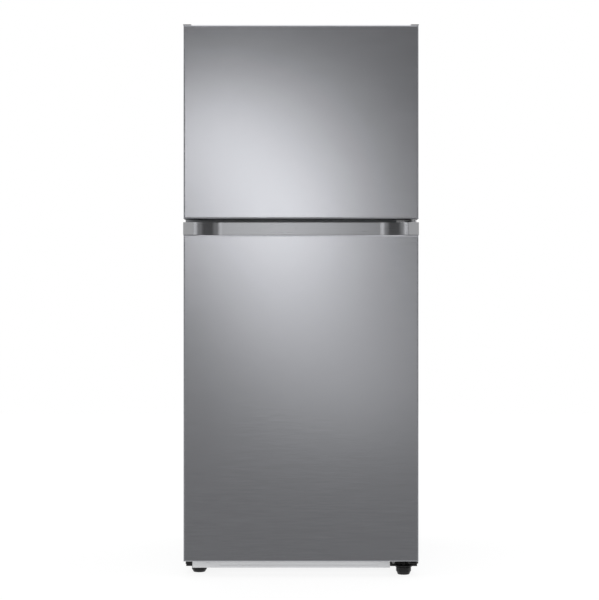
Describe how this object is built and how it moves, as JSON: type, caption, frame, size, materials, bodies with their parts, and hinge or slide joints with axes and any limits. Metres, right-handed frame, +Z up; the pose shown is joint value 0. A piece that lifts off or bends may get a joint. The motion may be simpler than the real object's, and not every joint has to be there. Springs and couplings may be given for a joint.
{
  "type": "top freezer refrigerator",
  "caption": "Upright refrigerator with a freezer door above a taller fridge door, brushed steel fronts and a recessed hand grip between them.",
  "frame": {"origin": "bottom centre of the bounding box, on the floor", "axes": "+Z up, -Y out of the doors' front, +X towards the hinge side"},
  "size_m": [0.73, 0.795, 1.722],
  "materials": {
    "steel_door": "horizontal brushed",
    "handle_trim": "satin moulded",
    "cabinet_paint": "fine orange-peel paint",
    "galvanised_steel": "galvanised",
    "hinge_steel": "zinc plated",
    "black_steel": "black powder coat",
    "insulation_foam": "rigid polyurethane foam",
    "liner_plastic": "vacuum-formed liner",
    "clear_plastic": "clear moulded",
    "shelf_glass": "clear tempered",
    "shelf_trim": "moulded",
    "gasket_rubber": "matte extruded",
    "door_cap_plastic": "fine textured",
    "base_rail_paint": "light grey paint",
    "foot_plastic": "moulded",
    "fan_plastic": "moulded",
    "coil_aluminium": "finned",
    "copper_tube": "bare copper",
    "compressor_paint": "black enamel",
    "grommet_rubber": "matte",
    "lamp_lens": "frosted lens",
    "cover_board": "grey paint"
  },
  "bodies": {
    "cabinet": {"cabinet_shell": "cabinet_paint", "cabinet_back_panel": "galvanised_steel", "cabinet_insulation": "insulation_foam", "freezer_liner": "liner_plastic", "fridge_liner": "liner_plastic", "mullion_cover": "cabinet_paint", "base_tray": "galvanised_steel", "base_rail": "base_rail_paint", "foot_bracket_left": "black_steel", "top_hinge": "hinge_steel", "top_hinge_cover": "door_cap_plastic", "middle_hinge": "hinge_steel", "bottom_hinge": "black_steel", "hinge_screws": "hinge_steel", "freezer_shelf_glass": "shelf_glass", "freezer_shelf_frame": "shelf_trim", "evaporator_cover": "liner_plastic", "evaporator": "coil_aluminium", "evaporator_fan_motor": "fan_plastic", "air_duct": "liner_plastic", "interior_lamps": "lamp_lens", "control_panel": "shelf_trim", "fridge_shelf_glass": "shelf_glass", "fridge_shelf_frames": "shelf_trim", "crisper_cover_glass": "shelf_glass", "crisper_cover_frame": "shelf_trim", "compressor": "compressor_paint", "compressor_grommets": "grommet_rubber", "condenser": "coil_aluminium", "condenser_fan_motor": "fan_plastic", "drain_pan": "fan_plastic", "machine_cover": "cover_board", "power_cord_gland": "grommet_rubber", "refrigerant_tubes": "copper_tube", "roller_axles": "hinge_steel"},
    "freezer_door": {"freezer_door_skin": "steel_door", "freezer_door_top_cap": "door_cap_plastic", "freezer_door_bottom_cap": "door_cap_plastic", "freezer_door_insulation": "insulation_foam", "freezer_door_liner": "liner_plastic", "freezer_door_gasket": "gasket_rubber", "freezer_door_bins": "clear_plastic"},
    "fridge_door": {"fridge_door_skin": "steel_door", "fridge_door_handle_trim": "handle_trim", "fridge_door_end_caps": "handle_trim", "fridge_door_bottom_cap": "door_cap_plastic", "fridge_door_insulation": "insulation_foam", "fridge_door_liner": "liner_plastic", "fridge_door_gasket": "gasket_rubber", "fridge_door_bins": "clear_plastic"},
    "crisper_left_drawer": {"crisper_left": "clear_plastic"},
    "crisper_right_drawer": {"crisper_right": "clear_plastic"},
    "evaporator_fan": {"evaporator_fan_blade": "fan_plastic"},
    "condenser_fan": {"condenser_fan_blade": "fan_plastic"},
    "roller_left": {"rear_roller_left": "foot_plastic"},
    "roller_right": {"rear_roller_right": "foot_plastic"},
    "levelling_foot_left": {"foot_left": "foot_plastic"},
    "levelling_foot_right": {"foot_right": "foot_plastic"},
    "freezer_button": {"button_freezer": "door_cap_plastic"},
    "fridge_button": {"button_fridge": "door_cap_plastic"}
  },
  "joints": [
    {"name": "freezer_door_hinge", "type": "hinge", "parent": "cabinet", "child": "freezer_door", "pos_m": [0.349, -0.3695, 1.4], "axis": [0, 0, 1], "range_deg": [0, 130]},
    {"name": "fridge_door_hinge", "type": "hinge", "parent": "cabinet", "child": "fridge_door", "pos_m": [0.349, -0.3695, 0.57], "axis": [0, 0, 1], "range_deg": [0, 130]},
    {"name": "crisper_left_slide", "type": "slide", "parent": "cabinet", "child": "crisper_left_drawer", "axis": [0, -1, 0], "range_m": [0, 0.28]},
    {"name": "crisper_right_slide", "type": "slide", "parent": "cabinet", "child": "crisper_right_drawer", "axis": [0, -1, 0], "range_m": [0, 0.28]},
    {"name": "freezer_button_press", "type": "slide", "parent": "cabinet", "child": "freezer_button", "axis": [0, 1, 0], "range_m": [0, 0.0012], "stiffness_N_per_m": 400},
    {"name": "fridge_button_press", "type": "slide", "parent": "cabinet", "child": "fridge_button", "axis": [0, 1, 0], "range_m": [0, 0.0012], "stiffness_N_per_m": 400},
    {"name": "evaporator_fan_spin", "type": "hinge", "parent": "cabinet", "child": "evaporator_fan", "pos_m": [0, 0.2915, 1.465], "axis": [0, 1, 0], "continuous": true},
    {"name": "condenser_fan_spin", "type": "hinge", "parent": "cabinet", "child": "condenser_fan", "pos_m": [0.034, 0.2615, 0.1355], "axis": [1, 0, 0], "continuous": true},
    {"name": "rear_roller_left_spin", "type": "hinge", "parent": "cabinet", "child": "roller_left", "pos_m": [-0.3, 0.3295, 0.02], "axis": [1, 0, 0], "continuous": true},
    {"name": "rear_roller_right_spin", "type": "hinge", "parent": "cabinet", "child": "roller_right", "pos_m": [0.3, 0.3295, 0.02], "axis": [1, 0, 0], "continuous": true},
    {"name": "foot_left_turn", "type": "hinge", "parent": "cabinet", "child": "levelling_foot_left", "pos_m": [-0.3216, -0.2895, 0.01], "axis": [0, 0, 1], "continuous": true},
    {"name": "foot_right_turn", "type": "hinge", "parent": "cabinet", "child": "levelling_foot_right", "pos_m": [0.3216, -0.3325, 0.01], "axis": [0, 0, 1], "continuous": true}
  ],
  "couplings": [
    {"joint": "crisper_left_slide", "follows": "fridge_door_hinge", "m_per_rad": 0.1234},
    {"joint": "crisper_right_slide", "follows": "fridge_door_hinge", "m_per_rad": 0.1234}
  ]
}
